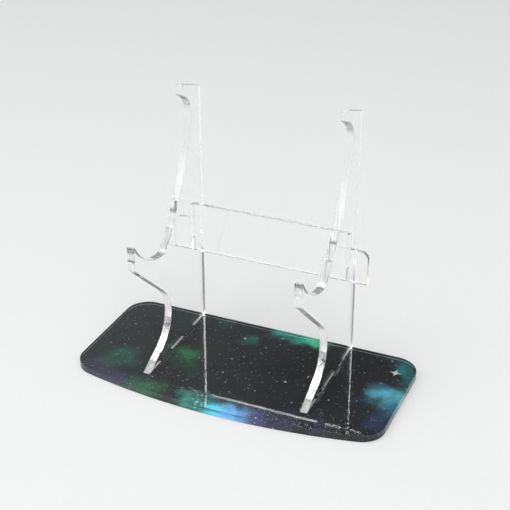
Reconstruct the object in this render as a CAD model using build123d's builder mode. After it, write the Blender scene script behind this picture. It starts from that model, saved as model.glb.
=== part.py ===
"""Slot-together display stand: a printed base, two hooked uprights and a crossbar, all cut from clear sheet.

Frame: +X to the stand's right, +Y to its back, +Z up. The origin is on the table, under the middle of the base.
"""
from build123d import *
from math import radians, sqrt, tan
import os

# Sheets
base_sheet = 5.0
print_film = 0.3  # printed, white-backed layer bonded under the base plate
upright_sheet = 5.0
crossbar_sheet = 3.0

# Fits
slot_clearance = 0.15  # round each upright tab in its slot in the base
notch_clearance = 0.15  # each side of an upright in its crossbar notch
window_clearance = 0.2  # each side of the crossbar in an upright window
window_headroom = 0.5  # above a crossbar wing while it is threaded through its window

# Base
base_width = 213.0
base_depth = 103.6  # back edge to the middle of the bowed front edge
front_bow_radius = 430.0
base_corner_radius = 16.0

# Uprights: reaches are measured forward from the straight back edge, heights up from the table
upright_spacing = 110.0  # centre to centre
upright_setback = 0.5  # back edge of an upright to the back edge of the base
foot_length = 84.0
tab_length = 16.8
tab_pitch = 33.6  # centre to centre of an upright's two tabs
post_height = 176.0  # top of the back edge
hook_reach = 25.2
hook_slope = 20.0  # degrees that the top edge rises towards the front
hook_face = 8.0  # height of the hook's front face
hook_tip_radius = 2.0
hook_recess_radius = 18.0
neck_width = 13.4  # narrowest part of the post, under the hook
neck_drop = 13.5  # from the top of the back edge
neck_blend_radius = 12.0
post_curve_radius = 158.0
cradle_reach = 57.0  # to the lowest point of the cradle
cradle_height = 81.5
cradle_corner_radius = 5.0
cradle_floor_radius = 43.7  # rises from the lowest point to the lip
lip_reach = 96.2
lip_height = 103.8
lip_face = 16.0  # height of the lip's front face
lip_land = 1.5  # flat top of the lip
lip_edge_radius = 0.5
arm_slope = 41.8  # degrees that the arm's underside falls towards the back
leg_slope = 24.0  # degrees that the leg's front edge rises from the toe
knee_radius = 24.5

# Crossbar
crossbar_setback = 13.5  # back edge of an upright to the middle of the crossbar's sheet
wing_overhang = 12.7  # wing beyond an upright's outer face
crossbar_bottom = 63.6
crossbar_height = 34.5  # of the middle part, between the uprights
wing_height = 23.4
wing_corner_radius = 5.5
notch_depth = 9.9

base_top = print_film + base_sheet
upright_back = base_depth / 2 - upright_setback
foot_middle = upright_back - foot_length / 2
crossbar_y = upright_back - crossbar_setback
sill_height = crossbar_bottom + notch_depth


def base_outline() -> Sketch:
    """Straight back and sides and a bowed front, with four round corners and the slots for the tabs."""
    side = base_width / 2
    bow_sagitta = front_bow_radius - sqrt(front_bow_radius**2 - side**2)
    front_corner = -base_depth / 2 + bow_sagitta
    with BuildSketch() as outline:
        with BuildLine():
            Polyline((-side, front_corner), (-side, base_depth / 2), (side, base_depth / 2), (side, front_corner))
            ThreePointArc((side, front_corner), (0, -base_depth / 2), (-side, front_corner))
        make_face()
        fillet(outline.vertices(), base_corner_radius)
        with Locations((0, foot_middle)):
            with GridLocations(upright_spacing, tab_pitch, 2, 2):
                Rectangle(
                    upright_sheet + 2 * slot_clearance,
                    tab_length + 2 * slot_clearance,
                    mode=Mode.SUBTRACT,
                )
    return outline.sketch


def upright_outline() -> Sketch:
    """Side view of an upright, as (Y, Z): hook, post curve, cradle, lip, arm, knee, leg, tabs and window."""
    hook_y = upright_back - hook_reach
    hook_top = post_height + hook_reach * tan(radians(hook_slope))
    lip_y = upright_back - lip_reach
    lip_bottom = lip_height - lip_face
    toe_y = upright_back - foot_length
    arm_fall = tan(radians(arm_slope))
    leg_rise = tan(radians(leg_slope))
    # where the arm's underside and the leg's front edge would meet, behind the round of the knee
    knee_y = (lip_bottom - base_top + arm_fall * lip_y + leg_rise * toe_y) / (arm_fall + leg_rise)

    toe = (toe_y, base_top)
    hook_tip = (hook_y, hook_top - hook_face)
    neck = (upright_back - neck_width, post_height - neck_drop)
    cradle = (upright_back - cradle_reach, cradle_height)
    lip_back = (lip_y + lip_land, lip_height)
    lip_front = (lip_y, lip_height)
    lip_heel = (lip_y, lip_bottom)
    knee = (knee_y, base_top + leg_rise * (knee_y - toe_y))
    rounds = (
        (hook_tip, hook_tip_radius),
        (neck, neck_blend_radius),
        (cradle, cradle_corner_radius),
        (lip_back, lip_edge_radius),
        (lip_front, lip_edge_radius),
        (lip_heel, lip_edge_radius),
        (knee, knee_radius),
    )
    with BuildSketch() as outline:
        with BuildLine():
            Polyline(toe, (upright_back, base_top), (upright_back, post_height), (hook_y, hook_top), hook_tip)
            RadiusArc(hook_tip, neck, hook_recess_radius)
            RadiusArc(neck, cradle, post_curve_radius)
            RadiusArc(cradle, lip_back, cradle_floor_radius)
            Polyline(lip_back, lip_front, lip_heel, knee, toe)
        make_face()
        for corner, radius in rounds:
            fillet(outline.vertices().sort_by_distance(corner)[0], radius)
        with Locations((foot_middle, base_top - base_sheet / 2)):
            with GridLocations(tab_pitch, base_sheet, 2, 1):
                Rectangle(tab_length, base_sheet)
        with Locations((crossbar_y, sill_height)):
            Rectangle(
                crossbar_sheet + 2 * window_clearance,
                wing_height + window_headroom,
                align=(Align.CENTER, Align.MIN),
                mode=Mode.SUBTRACT,
            )
    return outline.sketch


def crossbar_outline() -> Sketch:
    """Front view of the crossbar, as (X, Z): a tall middle, two wings and a notch over each upright's sill."""
    length = upright_spacing + upright_sheet + 2 * wing_overhang
    notch_width = upright_sheet + 2 * notch_clearance
    with BuildSketch() as outline:
        with Locations((0, crossbar_bottom)):
            Rectangle(length, wing_height, align=(Align.CENTER, Align.MIN))
            Rectangle(upright_spacing - notch_width, crossbar_height, align=(Align.CENTER, Align.MIN))
            with GridLocations(upright_spacing, notch_depth, 2, 1):
                Rectangle(notch_width, notch_depth, align=(Align.CENTER, Align.MIN), mode=Mode.SUBTRACT)
        ends = outline.vertices().group_by(Axis.X)
        fillet([end.sort_by(Axis.Y)[-1] for end in (ends[0], ends[-1])], wing_corner_radius)
    return outline.sketch


os.makedirs("parts", exist_ok=True)

with BuildPart() as base_plate:
    with BuildSketch(Plane.XY.offset(print_film)):
        add(base_outline())
    extrude(amount=base_sheet)
base_plate.part.label = "base_plate"
export_step(base_plate.part, "parts/base_plate.step")

with BuildPart() as printed_backing:
    with BuildSketch(Plane.XY):
        add(base_outline())
    extrude(amount=print_film)
printed_backing.part.label = "printed_backing"
export_step(printed_backing.part, "parts/printed_backing.step")

for side_name, side_x in (("left", -upright_spacing / 2), ("right", upright_spacing / 2)):
    with BuildPart() as upright:
        with BuildSketch(Plane.YZ.offset(side_x)):
            add(upright_outline())
        extrude(amount=upright_sheet / 2, both=True)
    upright.part.label = f"{side_name}_upright"
    export_step(upright.part, f"parts/{side_name}_upright.step")

with BuildPart() as crossbar:
    with BuildSketch(Plane.XZ.offset(-crossbar_y)):
        add(crossbar_outline())
    extrude(amount=crossbar_sheet / 2, both=True)
crossbar.part.label = "crossbar"
export_step(crossbar.part, "parts/crossbar.step")
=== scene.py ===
"""Looks for the slot-together display stand: clear acrylic sheets standing on a plate with a night-sky print.

Frame: metres, +X to the stand's right, +Y to its back, +Z up, origin on the table under the middle of the
base. Sizes held in the classes are in millimetres, as they would be marked out on the sheet.
"""

import logging
import math
from collections.abc import Mapping, Sequence
from dataclasses import dataclass, field
from enum import Enum
from typing import Any

import bpy
import numpy as np
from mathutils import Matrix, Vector
from mathutils.geometry import tessellate_polygon

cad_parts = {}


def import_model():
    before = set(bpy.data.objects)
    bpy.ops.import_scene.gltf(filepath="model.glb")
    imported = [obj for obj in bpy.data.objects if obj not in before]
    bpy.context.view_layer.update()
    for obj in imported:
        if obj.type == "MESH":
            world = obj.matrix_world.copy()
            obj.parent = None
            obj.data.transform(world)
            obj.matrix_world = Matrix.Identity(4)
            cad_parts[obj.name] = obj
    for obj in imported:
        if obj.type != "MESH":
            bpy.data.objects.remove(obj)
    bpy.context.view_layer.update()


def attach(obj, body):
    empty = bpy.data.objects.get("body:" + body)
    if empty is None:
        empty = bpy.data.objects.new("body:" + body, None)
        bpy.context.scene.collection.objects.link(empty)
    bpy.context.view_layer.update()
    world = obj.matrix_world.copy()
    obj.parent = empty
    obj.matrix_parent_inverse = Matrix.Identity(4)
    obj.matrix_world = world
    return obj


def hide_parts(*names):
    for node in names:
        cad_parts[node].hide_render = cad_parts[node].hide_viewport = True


LOG = logging.getLogger("display_stand")
MM = 0.001
FINEST_TURN = 2.0  # degrees between the points of a curve, at most
SAME_POINT = 1e-6  # millimetres: points closer than this are one
SHARP_ANGLE = 30.0  # degrees between two faces, above which their edge is drawn sharp
FACING_UP = 0.9  # height of a unit normal, above which a face is a sheet's top
WAVES_PER_UNIT = 3.2  # bands that a wave texture draws in one unit, about 20 / (2 pi)

Colour = tuple[float, float, float, float]
Point = tuple[float, float]


def linear(code: str) -> Colour:
    """Turns an sRGB hex value into linear RGBA, by the sRGB curve.

    Args:
        code: the colour as "#rrggbb".

    Returns:
        Linear red, green and blue from 0 to 1, and an alpha of 1.
    """
    parts = np.array([int(code[i : i + 2], 16) for i in (1, 3, 5)]) / 255
    flat = np.where(parts <= 0.04045, parts / 12.92, ((parts + 0.055) / 1.055) ** 2.4)
    return (float(flat[0]), float(flat[1]), float(flat[2]), 1.0)


def add_node(
    tree: bpy.types.NodeTree,
    kind: str,
    settings: Mapping[str, Any] | None = None,
    inputs: Mapping[str | int, Any] | None = None,
    ramp: Sequence[tuple[float, Colour]] = (),
) -> bpy.types.Node:
    """Adds one node with its settings and its links.

    Args:
        tree: the node tree that it goes into.
        kind: Blender's name for the node type.
        settings: properties of the node by name.
        inputs: for each input socket, a constant or the output socket to link to it.
        ramp: positions and colours, for a node that has a colour ramp.

    Returns:
        The new node.
    """
    node = tree.nodes.new(kind)
    for name, value in (settings or {}).items():
        setattr(node, name, value)
    for key, value in (inputs or {}).items():
        if isinstance(value, bpy.types.NodeSocket):
            tree.links.new(value, node.inputs[key])
        else:
            node.inputs[key].default_value = value
    for i, (position, colour) in enumerate(ramp):
        stops = node.color_ramp.elements
        stop = stops[i] if i < 2 else stops.new(position)
        stop.position = position
        stop.color = colour
    return node


def new_material(name: str) -> tuple[bpy.types.Material, bpy.types.NodeTree]:
    """Makes an empty node material.

    Args:
        name: what the finish is.

    Returns:
        The material and its node tree, with no nodes in it.
    """
    material = bpy.data.materials.new(name)
    material.use_nodes = True
    material.node_tree.nodes.clear()
    return material, material.node_tree


# --------------------------------------------------------------------------------------------------
# Outlines, as arrays of (u, v) points in millimetres
# --------------------------------------------------------------------------------------------------


def line(start: Point, end: Point) -> np.ndarray:
    """A straight run of two points."""
    return np.array([start, end], float)


def arc(start: Point, end: Point, radius: float) -> np.ndarray:
    """A circular run, the shorter way round from start to end.

    Formula: the centre lies on the middle of the chord, moved square to it by sqrt(r^2 - (chord / 2)^2);
    the points are centre + r (cos t, sin t), with t going evenly from the start's angle to the end's.

    Args:
        start: where the run starts.
        end: where it ends.
        radius: in millimetres; above zero puts the centre on the left of the way along, below zero on the
            right.

    Returns:
        The points of the run.
    """
    a, b = np.array(start, float), np.array(end, float)
    chord = b - a
    length = np.hypot(*chord)
    left = np.array([-chord[1], chord[0]]) / length
    centre = (a + b) / 2 + math.copysign(math.sqrt(radius**2 - length**2 / 4), radius) * left
    return sweep(centre, a, b)


def sweep(centre: np.ndarray, a: np.ndarray, b: np.ndarray) -> np.ndarray:
    """Points round a centre from a to b, the shorter way, at most FINEST_TURN or a step of 1 mm apart.

    Args:
        centre: of the circle.
        a: the first point, on the circle.
        b: the last point, on the circle.

    Returns:
        The points, from a to b.
    """
    radius = np.hypot(*(a - centre))
    first = math.atan2(*(a - centre)[::-1])
    turn = (math.atan2(*(b - centre)[::-1]) - first + math.pi) % (2 * math.pi) - math.pi
    steps = max(4, math.ceil(max(abs(turn) / math.radians(FINEST_TURN), abs(turn) * radius)))
    t = first + turn * np.linspace(0, 1, steps + 1)
    return centre + radius * np.column_stack([np.cos(t), np.sin(t)])


def beside(run: np.ndarray, distance: float) -> np.ndarray:
    """Every point of a run, moved square to the run, to the left where distance is above zero."""
    way = np.gradient(run, axis=0)
    way /= np.linalg.norm(way, axis=1, keepdims=True)
    return run + distance * np.column_stack([-way[:, 1], way[:, 0]])


def at(run: np.ndarray, place: float) -> np.ndarray:
    """The point of a run at a fractional index."""
    i = min(int(place), len(run) - 2)
    return run[i] + (place - i) * (run[i + 1] - run[i])


def round_corner(before: np.ndarray, after: np.ndarray, radius: float) -> tuple[float, float, np.ndarray]:
    """A round between two runs that meet in a corner.

    Formula: both runs are moved sideways by the radius, towards the inside of the turn; where they cross is
    the centre of the round, and it touches each run where the same parameter falls on the run itself.

    Args:
        before: the run that ends in the corner.
        after: the run that starts there.
        radius: of the round.

    Returns:
        The fractional index where the round leaves the first run, the one where it joins the second, and its
        points.
    """
    into, out = before[-1] - before[-2], after[1] - after[0]
    side = math.copysign(radius, into[0] * out[1] - into[1] * out[0])
    first, second = beside(before, side), beside(after, side)
    p, d = first[:-1, None], np.diff(first, axis=0)[:, None]
    q, e = second[None, :-1], np.diff(second, axis=0)[None]
    gap = q - p
    with np.errstate(divide="ignore", invalid="ignore"):
        over = d[..., 0] * e[..., 1] - d[..., 1] * e[..., 0]
        s = (gap[..., 0] * e[..., 1] - gap[..., 1] * e[..., 0]) / over
        t = (gap[..., 0] * d[..., 1] - gap[..., 1] * d[..., 0]) / over
    i, j = np.argwhere((s >= 0) & (s <= 1) & (t >= 0) & (t <= 1))[-1]
    leave, join = float(i + s[i, j]), float(j + t[i, j])
    return leave, join, sweep(at(first, leave), at(before, leave), at(after, join))


def closed_outline(runs: Sequence[np.ndarray], rounds: Mapping[int, float]) -> np.ndarray:
    """Joins runs end to end into one closed outline, with rounds at some corners.

    Args:
        runs: the runs in order, each starting where the one before ends.
        rounds: the radius at the corner where a run starts, by that run's number.

    Returns:
        The outline's points, without repeats.
    """
    starts = [0.0] * len(runs)
    ends = [float(len(run) - 1) for run in runs]
    corners: dict[int, np.ndarray] = {}
    for k, radius in rounds.items():
        ends[k - 1], starts[k], corners[k] = round_corner(runs[k - 1], runs[k], radius)
    parts: list[np.ndarray] = []
    for k, run in enumerate(runs):
        parts.append(corners.get(k, run[:1]))
        inner = np.arange(math.floor(starts[k]) + 1, math.ceil(ends[k]))
        parts.append(run[inner])
    points = np.concatenate(parts)
    apart = np.linalg.norm(points - np.roll(points, 1, axis=0), axis=1)
    return points[apart > SAME_POINT]


def opening(centre: Point, width: float, height: float) -> np.ndarray:
    """A rectangular hole, wound clockwise so that the sheet is on its left."""
    corners = np.array([(-1, -1), (-1, 1), (1, 1), (1, -1)]) * (width / 2, height / 2)
    return np.array(centre) + corners


def inset(loop: np.ndarray, distance: float) -> np.ndarray:
    """A closed loop moved into the sheet on its left.

    Formula: each corner moves along the sum of its two edges' left normals, over one plus their dot
    product, which keeps both edges parallel to themselves.

    Args:
        loop: the loop's points.
        distance: how far, in millimetres.

    Returns:
        The moved points.
    """
    edge = np.roll(loop, -1, axis=0) - loop
    edge /= np.linalg.norm(edge, axis=1, keepdims=True)
    after = np.column_stack([-edge[:, 1], edge[:, 0]])
    before = np.roll(after, 1, axis=0)
    return loop + distance * (before + after) / (1 + (before * after).sum(1, keepdims=True))


class Lie(Enum):
    """How a sheet lies: the directions of its outline's u and v, and of its thickness."""

    FLAT = ((1, 0, 0), (0, 1, 0), (0, 0, 1))
    SIDEWAYS = ((0, 1, 0), (0, 0, 1), (1, 0, 0))
    UPRIGHT = ((1, 0, 0), (0, 0, 1), (0, -1, 0))


def sheet_object(
    name: str, loops: Sequence[np.ndarray], lie: Lie, middle: float, thickness: float, break_edge: float
) -> bpy.types.Object:
    """A flat sheet cut to an outline, with its holes and a small flat along every cut edge.

    Formula: the outline is swept straight through the thickness; its first and last rings are inset by the
    flat's width, and both caps are the outline's triangles less its holes.

    Args:
        name: of the piece.
        loops: the outline, counter-clockwise, then each hole, clockwise.
        lie: which way the sheet lies.
        middle: where the middle of its thickness is, along the axis that the thickness follows.
        thickness: of the sheet.
        break_edge: width of the flat along the edges.

    Returns:
        The new object, with material slot 0 for its two faces and slot 1 for the cut edges.
    """
    half = thickness / 2
    levels = ((-half, break_edge), (break_edge - half, 0.0), (half - break_edge, 0.0), (half, break_edge))
    rings = [[inset(loop, step) for loop in loops] for _, step in levels]
    total = sum(len(loop) for loop in loops)
    flat = np.concatenate([np.concatenate(ring) for ring in rings])
    depth = np.repeat([level for level, _ in levels], total)
    directions = np.array(lie.value, float)
    offset = abs(directions[2]) * middle
    points = (np.column_stack([flat, depth]) @ directions + offset) * MM

    follow = np.concatenate(
        [np.roll(np.arange(len(loop)), -1) + begin for loop, begin in zip(loops, starts_of(loops))]
    )
    here = np.arange(total)
    walls = np.concatenate(
        [
            np.column_stack([low + here, low + follow, low + total + follow, low + total + here])
            for low in range(0, (len(levels) - 1) * total, total)
        ]
    )
    cap = triangles(rings[-1])
    caps = np.concatenate([cap[:, ::-1], cap + (len(levels) - 1) * total])

    mesh = bpy.data.meshes.new(name)
    mesh.from_pydata(points.tolist(), [], walls.tolist() + caps.tolist())
    mesh.polygons.foreach_set("material_index", np.repeat([1, 0], [len(walls), len(caps)]))
    mesh.polygons.foreach_set("use_smooth", np.ones(len(mesh.polygons), bool))
    mesh.set_sharp_from_angle(angle=math.radians(SHARP_ANGLE))
    mesh.update()
    piece = bpy.data.objects.new(name, mesh)
    bpy.context.scene.collection.objects.link(piece)
    normals = piece.modifiers.new("flat faces lead", "WEIGHTED_NORMAL")
    normals.keep_sharp = True
    return piece


def starts_of(loops: Sequence[np.ndarray]) -> np.ndarray:
    """The number of each loop's first point, when the loops' points are put one after another."""
    return np.concatenate([[0], np.cumsum([len(loop) for loop in loops])[:-1]])


def triangles(loops: Sequence[np.ndarray]) -> np.ndarray:
    """Fills an outline and leaves out its holes.

    Args:
        loops: the outline, then the holes.

    Returns:
        Point numbers, three to a triangle, counter-clockwise.
    """
    filled = tessellate_polygon([[Vector((u, v, 0)) for u, v in loop] for loop in loops])
    corners = np.array(filled, int)
    flat = np.concatenate(loops)[corners]
    one, two = flat[:, 1] - flat[:, 0], flat[:, 2] - flat[:, 0]
    backwards = one[:, 0] * two[:, 1] - one[:, 1] * two[:, 0] < 0
    corners[backwards] = corners[backwards][:, ::-1]
    return corners


# --------------------------------------------------------------------------------------------------
# Finishes
# --------------------------------------------------------------------------------------------------


@dataclass(frozen=True)
class CastAcrylicFace:
    """Cast acrylic (PMMA) sheet, its faces as they come off the casting glass.

    To the eye: all but invisible, sharp reflections, a very slight long waviness and a breath of haze where
    it was wiped.
    """

    name: str = "cast_acrylic_face"
    colour: str = "#ffffff"
    refraction: float = 1.49  # PMMA
    haze: tuple[float, float] = (0.0, 0.02)
    wipe_mm: float = 35.0  # width of a wiped streak
    wave_mm: float = 60.0  # length of the sheet's waviness
    wave_height_mm: float = 0.004

    def material(self) -> bpy.types.Material:
        """Makes the material: glass with streaked haze and long waves."""
        material, tree = new_material(self.name)
        place = add_node(tree, "ShaderNodeTexCoord").outputs["Object"]
        streaks = add_node(
            tree, "ShaderNodeMapping", inputs={"Vector": place, "Scale": (1 / self.wipe_mm / MM,) * 3}
        )
        wiped = add_node(
            tree,
            "ShaderNodeTexNoise",
            inputs={"Vector": streaks.outputs[0], "Scale": 1.0, "Detail": 3.0, "Distortion": 0.6},
        )
        rough = add_node(
            tree,
            "ShaderNodeMapRange",
            inputs={"Value": wiped.outputs[0], 1: 0.35, 2: 0.75, 3: self.haze[0], 4: self.haze[1]},
        )
        waves = add_node(
            tree,
            "ShaderNodeTexNoise",
            inputs={"Vector": place, "Scale": 1 / self.wave_mm / MM, "Detail": 0.0},
        )
        bump = add_node(
            tree,
            "ShaderNodeBump",
            inputs={"Height": waves.outputs[0], "Distance": self.wave_height_mm * MM, "Strength": 1.0},
        )
        shader = add_node(
            tree,
            "ShaderNodeBsdfPrincipled",
            inputs={
                "Base Color": linear(self.colour),
                "Roughness": rough.outputs[0],
                "IOR": self.refraction,
                "Transmission Weight": 1.0,
                "Normal": bump.outputs[0],
            },
        )
        add_node(tree, "ShaderNodeOutputMaterial", inputs={"Surface": shader.outputs[0]})
        return material


@dataclass(frozen=True)
class LaserCutEdge:
    """The cut edge of cast acrylic, as a laser leaves it: melted clear, with fine ridges through the sheet.

    To the eye: the light that runs inside the sheet comes out here, so the edge is brighter than the faces,
    and the ridges break it into fine strokes.
    """

    through: Lie  # the ridges run through the thickness of a sheet that lies so
    name: str = "laser_cut_edge"
    colour: str = "#ffffff"
    refraction: float = 1.49
    ridge_mm: float = 0.8  # real ridges are 0.2 mm apart; drawn coarser so that they show
    ridge_height_mm: float = 0.0005
    stretch: float = 0.06  # a ridge is this much of its width long the other way
    roughness: tuple[float, float] = (0.07, 0.15)

    def material(self) -> bpy.types.Material:
        """Makes the material: glass with ridges as a bump and slightly frosted strokes."""
        material, tree = new_material(f"{self.name}_{self.through.name.lower()}")
        place = add_node(tree, "ShaderNodeTexCoord").outputs["Object"]
        along = 1 / self.ridge_mm / MM
        scale = np.where(np.array(self.through.value[2]) != 0, along * self.stretch, along)
        ridged = add_node(
            tree, "ShaderNodeMapping", inputs={"Vector": place, "Scale": tuple(float(s) for s in scale)}
        )
        ridges = add_node(
            tree, "ShaderNodeTexNoise", inputs={"Vector": ridged.outputs[0], "Scale": 1.0, "Detail": 2.0}
        )
        bump = add_node(
            tree,
            "ShaderNodeBump",
            inputs={"Height": ridges.outputs[0], "Distance": self.ridge_height_mm * MM, "Strength": 1.0},
        )
        rough = add_node(
            tree,
            "ShaderNodeMapRange",
            inputs={"Value": ridges.outputs[0], 1: 0.3, 2: 0.7, 3: self.roughness[0], 4: self.roughness[1]},
        )
        shader = add_node(
            tree,
            "ShaderNodeBsdfPrincipled",
            inputs={
                "Base Color": linear(self.colour),
                "Roughness": rough.outputs[0],
                "IOR": self.refraction,
                "Transmission Weight": 1.0,
                "Normal": bump.outputs[0],
            },
        )
        add_node(tree, "ShaderNodeOutputMaterial", inputs={"Surface": shader.outputs[0]})
        return material


@dataclass(frozen=True)
class Glow:
    """A patch of glowing gas in the printed sky: middle and reach in millimetres, ink and strength."""

    middle: Point
    reach: float
    ink: str
    strength: float = 1.0


@dataclass(frozen=True)
class StarField:
    """Printed stars of one size: a cell holds one star at most."""

    cell_mm: float
    radius_mm: float
    share: float  # of the cells that hold a star
    brightness: float


@dataclass(frozen=True)
class NightSkyPrint:
    """UV-cured ink on the underside of the plate, backed with white: a made-up night sky.

    To the eye: near-black, paler and greener to the left, with soft glowing gas in teal, blue and violet,
    and stars of three sizes. It has no gloss of its own, because the ink is bonded to the acrylic above it.
    """

    name: str = "night_sky_print"
    night: str = "#1e1c1f"
    haze: str = "#373f3f"
    haze_mm: float = 60.0  # size of a bank of haze
    haze_from: Point = (30.0, -90.0)  # x where the haze sets in, and where it is full
    haze_gain: Point = (-0.25, 0.7)  # added to the banks at those two
    glows: tuple[Glow, ...] = (
        Glow((91, 11), 10, "#58bcd4", 1.7),
        Glow((98, 5), 12, "#62c8da", 1.2),
        Glow((104, 12), 9, "#3fb0b4", 0.5),
        Glow((102, -7), 11, "#3a92b4", 1.0),
        Glow((98, -20), 13, "#274a80", 0.7),
        Glow((84, 4), 12, "#2a3a6c", 0.6),
        Glow((103, 27), 12, "#1f6f74", 0.9),
        Glow((100, 42), 14, "#22888e", 1.5),
        Glow((86, 54), 12, "#1a7078", 1.3),
        Glow((32, 53), 11, "#56e0b0", 1.5),
        Glow((18, 53), 12, "#2ba894", 2.6),
        Glow((4, 53), 11, "#239a92", 1.9),
        Glow((-12, 35), 11, "#1b7f6c", 1.1),
        Glow((-36, 52), 13, "#166058", 0.8),
        Glow((-62, 40), 18, "#23423c", 1.0),
        Glow((-42, 0), 14, "#1f7a4c", 1.3),
        Glow((-34, -13), 11, "#1d6a44", 0.8),
        Glow((-82, -18), 16, "#176a54", 1.1),
        Glow((-60, -41), 14, "#2c7a5a", 0.6),
        Glow((-45, -44), 12, "#2a7a4c", 0.9),
        Glow((-90, -36), 17, "#3c3460", 0.9),
        Glow((-74, -42), 12, "#54407c", 1.0),
        Glow((-16, -41), 13, "#2ca894", 2.0),
        Glow((-2, -48), 15, "#4cc4dc", 2.6),
        Glow((13, -50), 15, "#6cb0ea", 2.4),
        Glow((29, -46), 16, "#56568e", 1.2),
        Glow((46, -42), 15, "#3c3460", 1.0),
        Glow((68, -36), 16, "#2a2746", 0.9),
    )
    glow_spread: float = 1.15  # a glow fades out at this much of its reach
    glow_gain: float = 0.75  # brightness at a glow's middle, at strength 1 and fold 1
    cloud_mm: float = 20.0  # size of the folds in the gas
    fold_from: Point = (0.36, 0.68)  # cloud noise at the thinnest and the thickest gas
    fold_gain: Point = (0.25, 1.5)  # what a glow is multiplied by at those two
    drift_mm: float = 24.0  # size of the bends in its outlines
    bend_mm: float = 28.0  # how far those bends range from side to side
    stars: tuple[StarField, ...] = (
        StarField(20.0, 0.85, 0.6, 1.0),
        StarField(8.0, 0.5, 0.5, 0.8),
        StarField(3.9, 0.4, 0.6, 0.5),
    )
    star_ink: str = "#e8efe9"
    smallest_star: float = 0.4  # of the radius that its field allows
    faintest_star: float = 0.25  # of its field's brightness
    faint_share: float = 0.1  # of the stars that are as faint as that
    sparkle_middle: Point = (93.0, 36.0)
    sparkle_reach: float = 5.0

    def material(self) -> bpy.types.Material:
        """Makes the material: a dark ground, the glows added through shared clouds, and the stars on top."""
        material, tree = new_material(self.name)
        place = add_node(tree, "ShaderNodeTexCoord").outputs["Object"]
        in_mm = add_node(
            tree, "ShaderNodeMapping", inputs={"Vector": place, "Scale": (1 / MM,) * 3}
        ).outputs[0]
        clouds = add_node(
            tree,
            "ShaderNodeTexNoise",
            inputs={
                "Vector": in_mm,
                "Scale": 1 / self.cloud_mm,
                "Detail": 7.0,
                "Roughness": 0.6,
                "Distortion": 0.5,
            },
        )
        folds = add_node(
            tree,
            "ShaderNodeMapRange",
            inputs={
                "Value": clouds.outputs[0],
                1: self.fold_from[0],
                2: self.fold_from[1],
                3: self.fold_gain[0],
                4: self.fold_gain[1],
            },
        ).outputs[0]
        drift = add_node(
            tree,
            "ShaderNodeTexNoise",
            inputs={"Vector": in_mm, "Scale": 1 / self.drift_mm, "Detail": 3.0, "Roughness": 0.5},
        )
        bend = add_node(
            tree,
            "ShaderNodeVectorMath",
            {"operation": "MULTIPLY_ADD"},
            {
                0: drift.outputs["Color"],
                1: (self.bend_mm, self.bend_mm, 0.0),
                2: (-self.bend_mm / 2, -self.bend_mm / 2, 0.0),
            },
        )
        bent = add_node(
            tree, "ShaderNodeVectorMath", {"operation": "ADD"}, {0: in_mm, 1: bend.outputs[0]}
        ).outputs[0]
        across = add_node(tree, "ShaderNodeSeparateXYZ", inputs={0: in_mm})
        leftward = add_node(
            tree,
            "ShaderNodeMapRange",
            inputs={
                "Value": across.outputs["X"],
                1: self.haze_from[0],
                2: self.haze_from[1],
                3: self.haze_gain[0],
                4: self.haze_gain[1],
            },
        )
        banks = add_node(
            tree, "ShaderNodeTexNoise", inputs={"Vector": in_mm, "Scale": 1 / self.haze_mm, "Detail": 3.0}
        )
        haze = add_node(
            tree,
            "ShaderNodeMath",
            {"operation": "ADD", "use_clamp": True},
            {0: banks.outputs[0], 1: leftward.outputs[0]},
        )
        sky = add_node(
            tree,
            "ShaderNodeMix",
            {"data_type": "RGBA"},
            {"Factor": haze.outputs[0], 6: linear(self.night), 7: linear(self.haze)},
        ).outputs[2]
        for glow in self.glows:
            away = add_node(
                tree, "ShaderNodeVectorMath", {"operation": "DISTANCE"}, {0: bent, 1: (*glow.middle, 0.3)}
            )
            near = add_node(
                tree,
                "ShaderNodeMapRange",
                {"interpolation_type": "SMOOTHERSTEP"},
                {
                    "Value": away.outputs["Value"],
                    1: self.glow_spread * glow.reach,
                    2: 0.0,
                    3: 0.0,
                    4: self.glow_gain * glow.strength,
                },
            )
            amount = add_node(
                tree, "ShaderNodeMath", {"operation": "MULTIPLY"}, {0: near.outputs[0], 1: folds}
            )
            sky = add_node(
                tree,
                "ShaderNodeMix",
                {"data_type": "RGBA", "blend_type": "ADD", "clamp_factor": False},
                {"Factor": amount.outputs[0], 6: sky, 7: linear(glow.ink)},
            ).outputs[2]
        for field_of_stars in self.stars:
            sky = self._add_stars(tree, in_mm, sky, field_of_stars)
        sky = self._add_sparkle(tree, in_mm, sky)
        shader = add_node(
            tree,
            "ShaderNodeBsdfPrincipled",
            inputs={"Base Color": sky, "Roughness": 0.6, "Specular IOR Level": 0.0},
        )
        add_node(tree, "ShaderNodeOutputMaterial", inputs={"Surface": shader.outputs[0]})
        return material

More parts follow.
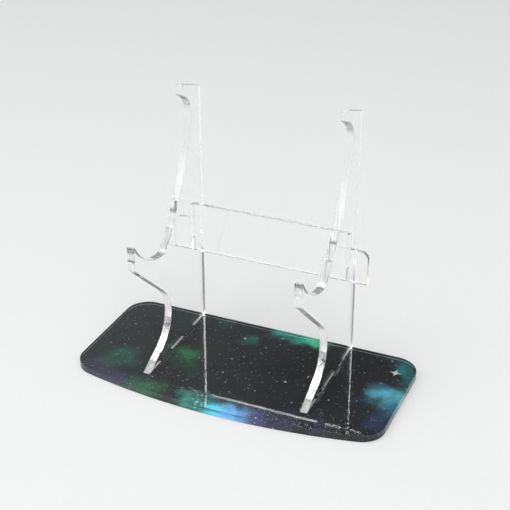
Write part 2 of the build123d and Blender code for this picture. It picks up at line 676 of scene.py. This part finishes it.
    def _add_stars(
        self,
        tree: bpy.types.NodeTree,
        in_mm: bpy.types.NodeSocket,
        sky: bpy.types.NodeSocket,
        stars: StarField,
    ) -> bpy.types.NodeSocket:
        """Prints one size of stars over the sky.

        Args:
            tree: the print's node tree.
            in_mm: the place on the print, in millimetres.
            sky: the colour so far.
            stars: the size, spacing and brightness.

        Returns:
            The colour with the stars on it.
        """
        cells = add_node(
            tree,
            "ShaderNodeTexVoronoi",
            {"voronoi_dimensions": "2D"},
            {"Vector": in_mm, "Scale": 1 / stars.cell_mm, "Randomness": 0.9},
        )
        chance = add_node(tree, "ShaderNodeSeparateColor", inputs={0: cells.outputs["Color"]})
        largest = stars.radius_mm / stars.cell_mm
        size = add_node(
            tree,
            "ShaderNodeMapRange",
            inputs={"Value": chance.outputs[1], 1: 0.0, 2: 1.0, 3: self.smallest_star * largest, 4: largest},
        )
        dot = add_node(
            tree,
            "ShaderNodeMath",
            {"operation": "LESS_THAN"},
            {0: cells.outputs["Distance"], 1: size.outputs[0]},
        )
        there = add_node(
            tree, "ShaderNodeMath", {"operation": "LESS_THAN"}, {0: chance.outputs[0], 1: stars.share}
        )
        light = add_node(
            tree,
            "ShaderNodeMapRange",
            inputs={
                "Value": chance.outputs[2],
                1: self.faint_share,
                2: 1.0,
                3: self.faintest_star * stars.brightness,
                4: stars.brightness,
            },
        )
        lit = add_node(
            tree, "ShaderNodeMath", {"operation": "MULTIPLY"}, {0: dot.outputs[0], 1: there.outputs[0]}
        )
        amount = add_node(
            tree, "ShaderNodeMath", {"operation": "MULTIPLY"}, {0: lit.outputs[0], 1: light.outputs[0]}
        )
        return add_node(
            tree,
            "ShaderNodeMix",
            {"data_type": "RGBA"},
            {"Factor": amount.outputs[0], 6: sky, 7: linear(self.star_ink)},
        ).outputs[2]

    def _add_sparkle(
        self, tree: bpy.types.NodeTree, in_mm: bpy.types.NodeSocket, sky: bpy.types.NodeSocket
    ) -> bpy.types.NodeSocket:
        """Prints a plain four-pointed star in white ink near the rear right corner.

        Formula: inside where sqrt|x| + sqrt|y| is under sqrt(reach), with x and y from the star's middle.

        Args:
            tree: the print's node tree.
            in_mm: the place on the print, in millimetres.
            sky: the colour so far.

        Returns:
            The colour with the star on it.
        """
        from_middle = add_node(
            tree,
            "ShaderNodeVectorMath",
            {"operation": "SUBTRACT"},
            {0: in_mm, 1: (*self.sparkle_middle, 0.0)},
        )
        size = add_node(tree, "ShaderNodeVectorMath", {"operation": "ABSOLUTE"}, {0: from_middle.outputs[0]})
        parts = add_node(tree, "ShaderNodeSeparateXYZ", inputs={0: size.outputs[0]})
        roots = [
            add_node(tree, "ShaderNodeMath", {"operation": "SQRT"}, {0: parts.outputs[axis]}).outputs[0]
            for axis in ("X", "Y")
        ]
        both = add_node(tree, "ShaderNodeMath", {"operation": "ADD"}, {0: roots[0], 1: roots[1]})
        inside = add_node(
            tree,
            "ShaderNodeMath",
            {"operation": "LESS_THAN"},
            {0: both.outputs[0], 1: math.sqrt(self.sparkle_reach)},
        )
        return add_node(
            tree,
            "ShaderNodeMix",
            {"data_type": "RGBA"},
            {"Factor": inside.outputs[0], 6: sky, 7: linear(self.star_ink)},
        ).outputs[2]


@dataclass(frozen=True)
class WhiteInkBacking:
    """The back and the cut rim of the print: matt white UV ink, laid down in passes.

    To the eye: plain white, with a faint banding across from the print head.
    """

    name: str = "white_ink_backing"
    colour: str = "#eceded"
    shade: str = "#dfe1e2"
    band_mm: float = 4.0  # width of one pass of the head

    def material(self) -> bpy.types.Material:
        """Makes the material: two near whites in soft bands."""
        material, tree = new_material(self.name)
        place = add_node(tree, "ShaderNodeTexCoord").outputs["Object"]
        bands = add_node(
            tree,
            "ShaderNodeTexWave",
            {"bands_direction": "Y"},
            {
                "Vector": place,
                "Scale": 1 / self.band_mm / MM / WAVES_PER_UNIT,
                "Distortion": 0.4,
                "Detail": 2.0,
            },
        )
        ink = add_node(
            tree,
            "ShaderNodeMix",
            {"data_type": "RGBA"},
            {"Factor": bands.outputs["Fac"], 6: linear(self.colour), 7: linear(self.shade)},
        )
        shader = add_node(
            tree,
            "ShaderNodeBsdfPrincipled",
            inputs={"Base Color": ink.outputs[2], "Roughness": 0.7, "Specular IOR Level": 0.3},
        )
        add_node(tree, "ShaderNodeOutputMaterial", inputs={"Surface": shader.outputs[0]})
        return material


@dataclass(frozen=True)
class BackdropPaper:
    """Seamless studio paper: matt, pale, with a barely seen tooth."""

    name: str = "backdrop_paper"
    colour: str = "#f1f2f1"
    tooth: str = "#eceded"
    tooth_mm: float = 3.0

    def material(self) -> bpy.types.Material:
        """Makes the material: two near whites in a fine mottle."""
        material, tree = new_material(self.name)
        place = add_node(tree, "ShaderNodeTexCoord").outputs["Object"]
        mottle = add_node(
            tree,
            "ShaderNodeTexNoise",
            inputs={"Vector": place, "Scale": 1 / self.tooth_mm / MM, "Detail": 3.0},
        )
        tone = add_node(
            tree,
            "ShaderNodeMix",
            {"data_type": "RGBA"},
            {"Factor": mottle.outputs[0], 6: linear(self.colour), 7: linear(self.tooth)},
        )
        shader = add_node(
            tree,
            "ShaderNodeBsdfPrincipled",
            inputs={"Base Color": tone.outputs[2], "Roughness": 0.9, "Specular IOR Level": 0.1},
        )
        add_node(tree, "ShaderNodeOutputMaterial", inputs={"Surface": shader.outputs[0]})
        return material


# --------------------------------------------------------------------------------------------------
# Pieces
# --------------------------------------------------------------------------------------------------


def dress(piece: bpy.types.Object, *finishes: bpy.types.Material) -> None:
    """Fills a new piece's material slots in order; clearing them first would put every face in slot 0."""
    for finish in finishes:
        piece.data.materials.append(finish)


@dataclass
class Base:
    """The bowed base: a clear plate with four slots, over its printed film."""

    width: float = 213.0
    depth: float = 103.6
    bow_radius: float = 430.0
    corner_radius: float = 16.0
    sheet: float = 5.0
    film: float = 0.3
    bond: float = 0.02  # how far the ink sits up in the plate, so that nothing is seen between them
    film_inset: float = 0.08  # the print stops this far inside the plate's edges
    film_break_edge: float = 0.05
    slot_spacing: float = 110.0
    slot_pitch: float = 33.6
    slot_middle: float = 9.3
    slot_size: Point = (5.3, 17.1)
    break_edge: float = 0.2

    def outline(self) -> list[np.ndarray]:
        """The plate's outline and its four slots.

        Returns:
            The outline counter-clockwise, from the rear left corner, then the slots clockwise.
        """
        side, back = self.width / 2, self.depth / 2
        front = self.bow_radius - math.sqrt(self.bow_radius**2 - side**2) - back
        runs = (
            line((-side, back), (-side, front)),
            arc((-side, front), (side, front), self.bow_radius),
            line((side, front), (side, back)),
            line((side, back), (-side, back)),
        )
        rim = closed_outline(runs, dict.fromkeys(range(4), self.corner_radius))
        slots = [
            opening((x * self.slot_spacing / 2, self.slot_middle + y * self.slot_pitch / 2), *self.slot_size)
            for x in (-1, 1)
            for y in (-1, 1)
        ]
        return [rim, *slots]

    def build(self) -> None:
        """Builds and dresses the clear plate and the print under it."""
        loops = self.outline()
        plate = sheet_object(
            "clear_base", loops, Lie.FLAT, self.film + self.sheet / 2, self.sheet, self.break_edge
        )
        dress(plate, CastAcrylicFace().material(), LaserCutEdge(Lie.FLAT).material())
        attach(plate, "base")
        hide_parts("base_plate")

        top = self.film + self.bond
        printed = [inset(loop, self.film_inset) for loop in loops]
        film = sheet_object("night_sky_film", printed, Lie.FLAT, top / 2, top, self.film_break_edge)
        up = np.zeros(3 * len(film.data.polygons))
        film.data.polygons.foreach_get("normal", up)
        film.data.polygons.foreach_set("material_index", np.where(up[2::3] > FACING_UP, 0, 1))
        dress(film, NightSkyPrint().material(), WhiteInkBacking().material())
        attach(film, "base")
        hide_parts("printed_backing")
        LOG.info("base: plate and film, %d and %d faces", len(plate.data.polygons), len(film.data.polygons))


@dataclass
class Upright:
    """One hooked side of the stand, cut from clear sheet. Reaches are forward from the back edge."""

    body: str = "left_upright"
    middle: float = -55.0
    sheet: float = 5.0
    foot_top: float = 5.32  # a hair of air over the plate, as between real polished faces
    foot_bottom: float = 0.3
    back: float = 51.3
    foot: float = 84.0
    tab_length: float = 16.8
    tab_pitch: float = 33.6
    post_height: float = 176.0
    hook_reach: float = 25.2
    hook_slope: float = 20.0
    hook_face: float = 8.0
    hook_radius: float = 18.0
    neck: Point = (13.4, 13.5)
    post_radius: float = 158.0
    cradle: Point = (57.0, 81.5)
    cradle_radius: float = 43.7
    lip: Point = (96.2, 103.8)
    lip_land: float = 1.5
    lip_face: float = 16.0
    arm_slope: float = 41.8
    leg_slope: float = 24.0
    rounds: tuple[float, ...] = (2.0, 12.0, 5.0, 0.5, 0.5, 0.5, 24.5)  # hook tip to knee
    window: tuple[float, float, float, float] = (37.8, 73.5, 3.4, 23.9)  # middle, sill, width, height
    break_edge: float = 0.2

    def outline(self) -> list[np.ndarray]:
        """Side view as (y, z): foot and tabs, back edge, hook, post curve, cradle, lip, arm, knee and leg.

        Returns:
            The outline counter-clockwise, then the window clockwise.
        """
        toe = (self.back - self.foot, self.foot_top)
        hook_y = self.back - self.hook_reach
        hook_top = self.post_height + self.hook_reach * math.tan(math.radians(self.hook_slope))
        tip = (hook_y, hook_top - self.hook_face)
        neck = (self.back - self.neck[0], self.post_height - self.neck[1])
        cradle = (self.back - self.cradle[0], self.cradle[1])
        lip_y, lip_z = self.back - self.lip[0], self.lip[1]
        heel = (lip_y, lip_z - self.lip_face)
        fall, rise = math.tan(math.radians(self.arm_slope)), math.tan(math.radians(self.leg_slope))
        knee_y = (heel[1] - toe[1] + fall * heel[0] + rise * toe[0]) / (fall + rise)
        knee = (knee_y, toe[1] + rise * (knee_y - toe[0]))
        foot_middle = self.back - self.foot / 2
        corners: list[Point] = [toe]
        for tab in (-self.tab_pitch / 2, self.tab_pitch / 2):
            first = foot_middle + tab - self.tab_length / 2
            last = foot_middle + tab + self.tab_length / 2
            corners += [
                (first, self.foot_top),
                (first, self.foot_bottom),
                (last, self.foot_bottom),
                (last, self.foot_top),
            ]
        corners += [(self.back, self.foot_top), (self.back, self.post_height), (hook_y, hook_top), tip]
        runs = [line(a, b) for a, b in zip(corners, corners[1:])]
        first_round = len(runs)
        runs += [
            arc(tip, neck, -self.hook_radius),
            arc(neck, cradle, -self.post_radius),
            arc(cradle, (lip_y + self.lip_land, lip_z), -self.cradle_radius),
            line((lip_y + self.lip_land, lip_z), (lip_y, lip_z)),
            line((lip_y, lip_z), heel),
            line(heel, knee),
            line(knee, toe),
        ]
        rim = closed_outline(runs, {first_round + k: r for k, r in enumerate(self.rounds)})
        y, sill, width, height = self.window
        return [rim, opening((y, sill + height / 2), width, height)]

    def build(self, face: bpy.types.Material, edge: bpy.types.Material) -> None:
        """Builds and dresses the sheet.

        Args:
            face: finish of its two faces.
            edge: finish of its cut edges.
        """
        piece = sheet_object(
            f"{self.body}_sheet", self.outline(), Lie.SIDEWAYS, self.middle, self.sheet, self.break_edge
        )
        dress(piece, face, edge)
        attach(piece, self.body)
        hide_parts(self.body)
        LOG.info("%s: %d faces", piece.name, len(piece.data.polygons))


@dataclass
class Crossbar:
    """The bar that slots down over the uprights' sills, cut from thinner clear sheet."""

    middle: float = 37.8
    sheet: float = 3.0
    bottom: float = 63.6
    height: float = 34.5
    wing_height: float = 23.4
    wing_radius: float = 5.5
    notch_depth: float = 9.92  # a hair of air over the uprights' sills
    notch_near: float = 52.35
    notch_far: float = 57.65
    half_length: float = 70.2
    break_edge: float = 0.2

    def outline(self) -> list[np.ndarray]:
        """Front view as (x, z), counter-clockwise: bottom with its two notches, wings and the tall middle.

        Returns:
            The one outline.
        """
        low, notch = self.bottom, self.bottom + self.notch_depth
        wing, top = self.bottom + self.wing_height, self.bottom + self.height
        right = [
            (self.notch_near, low),
            (self.notch_near, notch),
            (self.notch_far, notch),
            (self.notch_far, low),
            (self.half_length, low),
            (self.half_length, wing),
            (self.notch_near, wing),
            (self.notch_near, top),
        ]
        left = [(-x, z) for x, z in reversed(right)]
        corners = right + left
        runs = [line(a, b) for a, b in zip(corners, corners[1:] + corners[:1])]
        right_wing = right.index((self.half_length, wing))
        left_wing = len(right) + left.index((-self.half_length, wing))
        return [closed_outline(runs, {right_wing: self.wing_radius, left_wing: self.wing_radius})]

    def build(self, face: bpy.types.Material, edge: bpy.types.Material) -> None:
        """Builds and dresses the sheet.

        Args:
            face: finish of its two faces.
            edge: finish of its cut edges.
        """
        piece = sheet_object(
            "crossbar_sheet", self.outline(), Lie.UPRIGHT, self.middle, self.sheet, self.break_edge
        )
        dress(piece, face, edge)
        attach(piece, "crossbar")
        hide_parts("crossbar")
        LOG.info("crossbar: %d faces", len(piece.data.polygons))


@dataclass(frozen=True)
class SoftBox:
    """A square light with a diffuser: where it hangs as seen from the stand, in metres, and its radiance."""

    name: str
    turn: float  # degrees to the right of straight in front
    tilt: float  # degrees above level
    distance: float
    size: float
    radiance: float
    in_sheets_only: bool = False  # the box shows only where its light comes out of clear sheet


def direction(turn: float, tilt: float) -> Vector:
    """The unit vector that points from the stand at something turn degrees to the right and tilt degrees up.

    Formula: (sin turn cos tilt, -cos turn cos tilt, sin tilt).

    Args:
        turn: degrees to the right of straight in front.
        tilt: degrees above level.

    Returns:
        The vector.
    """
    a, b = math.radians(turn), math.radians(tilt)
    return Vector((math.sin(a) * math.cos(b), -math.cos(a) * math.cos(b), math.sin(b)))


@dataclass
class Studio:
    """Floor, light and camera."""

    floor_half: float = 8.0  # metres
    floor_drop: float = 0.0001
    lens: float = 87.41
    turn: float = 23.54
    tilt: float = 28.17
    distance: float = 0.7723
    target: tuple[float, float, float] = (0.00814, 0.0, 0.09046)
    boxes: tuple[SoftBox, ...] = (
        SoftBox("overhead_box", 0.0, 63.0, 1.7, 3.0, 1.25),
        SoftBox("front_left_box", -23.5, 28.5, 2.0, 0.9, 6.5, True),
    )
    room: tuple[tuple[float, str], ...] = field(
        default=(
            (0.0, "#f4f4f4"),
            (0.12, "#e0e0e0"),
            (0.30, "#a4a5a8"),
            (0.62, "#a4a5a8"),
            (0.85, "#f4f4f4"),
        )
    )
    room_strength: float = 0.6
    left_fade: Point = (-0.25, -0.48)  # x of a direction, from where the room turns paler to the left
    left_white: Point = (0.05, 0.5)  # share of white at those two
    front_fade: Point = (0.2, -0.4)  # y of a direction, over which the back turns into the white front

    def build(self) -> None:
        """Lays the floor, hangs the lights and sets the camera."""
        self._floor()
        self._room()
        for box in self.boxes:
            self._hang(box)
        self._camera()

    def _floor(self) -> None:
        """Lays the paper, just under the table level."""
        side = np.linspace(-self.floor_half, self.floor_half, 2)
        x, y = np.meshgrid(side, side)
        points = np.column_stack([x.ravel(), y.ravel(), np.full(4, -self.floor_drop)])
        mesh = bpy.data.meshes.new("floor")
        mesh.from_pydata(points.tolist(), [], [(0, 1, 3, 2)])
        floor = bpy.data.objects.new("floor", mesh)
        bpy.context.scene.collection.objects.link(floor)
        dress(floor, BackdropPaper().material())

    def _room(self) -> None:
        """A soft room: white in front of the stand, dimmer at middle height behind it, paler to the left."""
        world = bpy.data.worlds.new("soft_room")
        bpy.context.scene.world = world
        world.use_nodes = True
        tree = world.node_tree
        tree.nodes.clear()
        way = add_node(tree, "ShaderNodeTexCoord").outputs["Generated"]
        parts = add_node(tree, "ShaderNodeSeparateXYZ", inputs={0: way})
        back = add_node(
            tree,
            "ShaderNodeValToRGB",
            inputs={0: parts.outputs["Z"]},
            ramp=[(position, linear(code)) for position, code in self.room],
        )
        left = add_node(
            tree,
            "ShaderNodeMapRange",
            inputs={
                "Value": parts.outputs["X"],
                1: self.left_fade[0],
                2: self.left_fade[1],
                3: self.left_white[0],
                4: self.left_white[1],
            },
        )
        paler = add_node(
            tree,
            "ShaderNodeMix",
            {"data_type": "RGBA"},
            {"Factor": left.outputs[0], 6: back.outputs[0], 7: linear("#ffffff")},
        )
        front = add_node(
            tree,
            "ShaderNodeMapRange",
            inputs={
                "Value": parts.outputs["Y"],
                1: self.front_fade[0],
                2: self.front_fade[1],
                3: 0.0,
                4: 1.0,
            },
        )
        colour = add_node(
            tree,
            "ShaderNodeMix",
            {"data_type": "RGBA"},
            {"Factor": front.outputs[0], 6: paler.outputs[2], 7: linear("#ffffff")},
        )
        glow = add_node(
            tree, "ShaderNodeBackground", inputs={"Color": colour.outputs[2], "Strength": self.room_strength}
        )
        add_node(tree, "ShaderNodeOutputWorld", inputs={"Surface": glow.outputs[0]})

    def _hang(self, box: SoftBox) -> None:
        """Hangs a soft box. Formula: its power is pi times its area times its radiance."""
        lamp = bpy.data.lights.new(box.name, "AREA")
        lamp.shape = "SQUARE"
        lamp.size = box.size
        lamp.energy = math.pi * box.size**2 * box.radiance
        hung = bpy.data.objects.new(box.name, lamp)
        hung.visible_diffuse = hung.visible_glossy = not box.in_sheets_only
        self._place(hung, direction(box.turn, box.tilt), box.distance)

    def _camera(self) -> None:
        """Puts the camera on its line of sight."""
        camera = bpy.data.cameras.new("camera")
        camera.lens = self.lens
        camera.clip_end = 30.0
        seat = bpy.data.objects.new("camera", camera)
        self._place(seat, direction(self.turn, self.tilt), self.distance)
        bpy.context.scene.camera = seat

    def _place(self, thing: bpy.types.Object, way: Vector, distance: float) -> None:
        """Puts a lamp or camera at a distance from the target, looking back at it."""
        thing.location = Vector(self.target) + distance * way
        thing.rotation_euler = way.to_track_quat("Z", "Y").to_euler()
        bpy.context.scene.collection.objects.link(thing)


def main() -> None:
    """Builds the stand on its frame, then the studio round it."""
    logging.basicConfig(level=logging.INFO, format="%(name)s: %(message)s")
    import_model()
    Studio().build()
    Base().build()
    face = CastAcrylicFace(name="cast_acrylic_face_upright").material()
    edge = LaserCutEdge(Lie.SIDEWAYS).material()
    for body, middle in (("left_upright", -55.0), ("right_upright", 55.0)):
        Upright(body=body, middle=middle).build(face, edge)
    # rougher than the uprights' edges, so that the crossbar's long edges look softer
    thin_edge = LaserCutEdge(Lie.UPRIGHT, roughness=(0.16, 0.2)).material()
    Crossbar().build(CastAcrylicFace(name="cast_acrylic_face_crossbar").material(), thin_edge)
    scene = bpy.context.scene
    scene.view_settings.view_transform = "Standard"
    scene.cycles.max_bounces = 24
    scene.cycles.glossy_bounces = 16
    scene.cycles.transmission_bounces = 24


if __name__ == "__main__":
    main()
